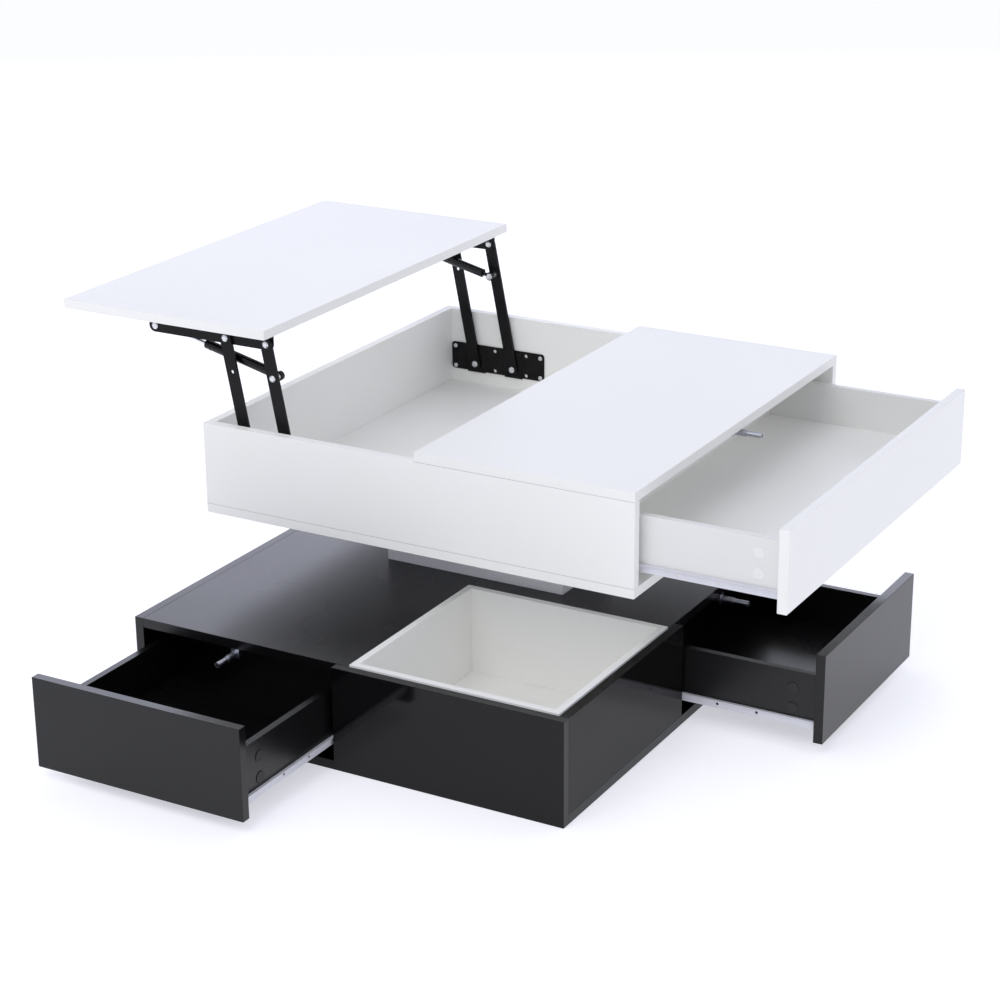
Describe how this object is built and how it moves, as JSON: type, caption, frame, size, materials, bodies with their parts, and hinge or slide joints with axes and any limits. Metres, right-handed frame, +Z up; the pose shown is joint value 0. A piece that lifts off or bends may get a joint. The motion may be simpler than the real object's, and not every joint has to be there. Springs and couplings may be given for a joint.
{
  "type": "lift top coffee table",
  "caption": "Two-tier coffee table: black base with drawers and an open box, plinth with a swivel, white case with a drawer and a top that lifts on folding arms.",
  "frame": {"origin": "centre of the black base's footprint, on the floor", "axes": "+Z up; the left drawer opens along -Y, the right and upper drawers along +X; the upper case stands further along +Y"},
  "size_m": [1.323, 1.272, 0.622],
  "materials": {
    "white_board": "white semi-gloss melamine board",
    "black_gloss_board": "black high-gloss lacquered board",
    "pale_grey_board": "pale satin board",
    "black_steel": "black satin powder coat",
    "zinc_steel": "zinc-plated steel",
    "chrome_rod": "hard chromed rod",
    "white_runner_steel": "white epoxy-coated sheet steel",
    "nylon": "moulded natural nylon",
    "latch_metal": "satin nickel-plated metal"
  },
  "bodies": {
    "base": {"base_bottom_board": "black_gloss_board", "base_front_panel": "black_gloss_board", "base_right_panel": "black_gloss_board", "base_left_side": "black_gloss_board", "base_back_panel": "black_gloss_board", "base_left_top": "black_gloss_board", "base_right_top": "black_gloss_board", "base_long_partition": "black_gloss_board", "base_right_partition": "black_gloss_board", "base_left_partition": "black_gloss_board", "liner_walls": "white_board", "liner_floor": "white_board", "plinth_boards": "pale_grey_board", "plinth_top": "pale_grey_board", "swivel_lower_plate": "zinc_steel", "swivel_balls": "zinc_steel", "base_cabinet_rails": "white_runner_steel", "base_rail_rollers": "nylon", "left_latch_housing": "latch_metal", "right_latch_housing": "latch_metal"},
    "case": {"case_bottom_board": "white_board", "case_front_side": "white_board", "case_back_side": "white_board", "case_left_side": "white_board", "case_fixed_top": "white_board", "case_partition": "white_board", "swivel_upper_plate": "zinc_steel", "lift_mounting_block": "white_board", "lift_wall_plates": "black_steel", "wall_plate_fasteners": "zinc_steel", "case_cabinet_rails": "white_runner_steel", "case_rail_rollers": "nylon", "upper_latch_housing": "latch_metal"},
    "right_arms": {"lift_right_arms": "black_steel", "strut_arm_bolts": "zinc_steel"},
    "left_arms": {"lift_left_arms": "black_steel"},
    "lift_top": {"lift_top": "white_board", "lift_top_brackets": "black_steel", "lift_top_rivets": "zinc_steel"},
    "strut_cylinders": {"strut_cylinders": "black_steel"},
    "strut_rods": {"strut_rods": "chrome_rod", "strut_rod_bolts": "zinc_steel"},
    "upper_drawer": {"upper_drawer_front": "white_board", "upper_drawer_sides": "white_board", "upper_drawer_back": "white_board", "upper_drawer_bottom": "white_board", "upper_drawer_runners": "white_runner_steel"},
    "upper_plunger": {"upper_latch_plunger": "latch_metal"},
    "left_drawer": {"left_drawer_front": "black_gloss_board", "left_drawer_sides": "black_gloss_board", "left_drawer_back": "black_gloss_board", "left_drawer_bottom": "black_gloss_board", "left_drawer_runners": "white_runner_steel"},
    "left_plunger": {"left_latch_plunger": "latch_metal"},
    "right_drawer": {"right_drawer_front": "black_gloss_board", "right_drawer_sides": "black_gloss_board", "right_drawer_back": "black_gloss_board", "right_drawer_bottom": "black_gloss_board", "right_drawer_runners": "white_runner_steel"},
    "right_plunger": {"right_latch_plunger": "latch_metal"}
  },
  "joints": [
    {"name": "swivel", "type": "hinge", "parent": "base", "child": "case", "pos_m": [0, 0.1135, 0.284], "axis": [0, 0, 1], "continuous": true},
    {"name": "lift_fold", "type": "hinge", "parent": "case", "child": "right_arms", "pos_m": [-0.247, 0.227, 0.345], "axis": [0, 1, 0], "range_deg": [0, 81.69]},
    {"name": "left_arm_fold", "type": "hinge", "parent": "case", "child": "left_arms", "pos_m": [-0.328, 0.227, 0.345], "axis": [0, 1, 0], "range_deg": [-0.5, 82.19]},
    {"name": "top_level", "type": "hinge", "parent": "right_arms", "child": "lift_top", "pos_m": [-0.29375, 0.227, 0.5855], "axis": [0, 1, 0], "range_deg": [-82.19, 0.5]},
    {"name": "strut_swing", "type": "hinge", "parent": "right_arms", "child": "strut_cylinders", "pos_m": [-0.28268, 0.227, 0.52856], "axis": [0, 1, 0], "range_deg": [-89.79, 0.5]},
    {"name": "strut_slide", "type": "slide", "parent": "strut_cylinders", "child": "strut_rods", "axis": [0.9726, 0, -0.2326], "range_m": [-0.001, 0.0725]},
    {"name": "upper_drawer_slide", "type": "slide", "parent": "case", "child": "upper_drawer", "axis": [1, 0, 0], "range_m": [-0.245, 0]},
    {"name": "left_drawer_slide", "type": "slide", "parent": "base", "child": "left_drawer", "axis": [0, -1, 0], "range_m": [-0.245, 0]},
    {"name": "right_drawer_slide", "type": "slide", "parent": "base", "child": "right_drawer", "axis": [1, 0, 0], "range_m": [-0.245, 0]},
    {"name": "upper_plunger_slide", "type": "slide", "parent": "case", "child": "upper_plunger", "axis": [1, 0, 0], "range_m": [-0.0502, 0.0002]},
    {"name": "left_plunger_slide", "type": "slide", "parent": "base", "child": "left_plunger", "axis": [0, -1, 0], "range_m": [-0.0502, 0.0002]},
    {"name": "right_plunger_slide", "type": "slide", "parent": "base", "child": "right_plunger", "axis": [1, 0, 0], "range_m": [-0.0502, 0.0002]}
  ],
  "couplings": [
    {"joint": "left_arm_fold", "follows": "lift_fold", "ratio": 1},
    {"joint": "top_level", "follows": "lift_fold", "ratio": -1},
    {"joint": "strut_swing", "follows": "lift_fold", "ratio": -1.0869},
    {"joint": "strut_slide", "follows": "lift_fold", "m_per_rad": 0.050115},
    {"joint": "upper_plunger_slide", "follows": "upper_drawer_slide", "ratio": 0.20408},
    {"joint": "left_plunger_slide", "follows": "left_drawer_slide", "ratio": 0.20408},
    {"joint": "right_plunger_slide", "follows": "right_drawer_slide", "ratio": 0.20408}
  ]
}
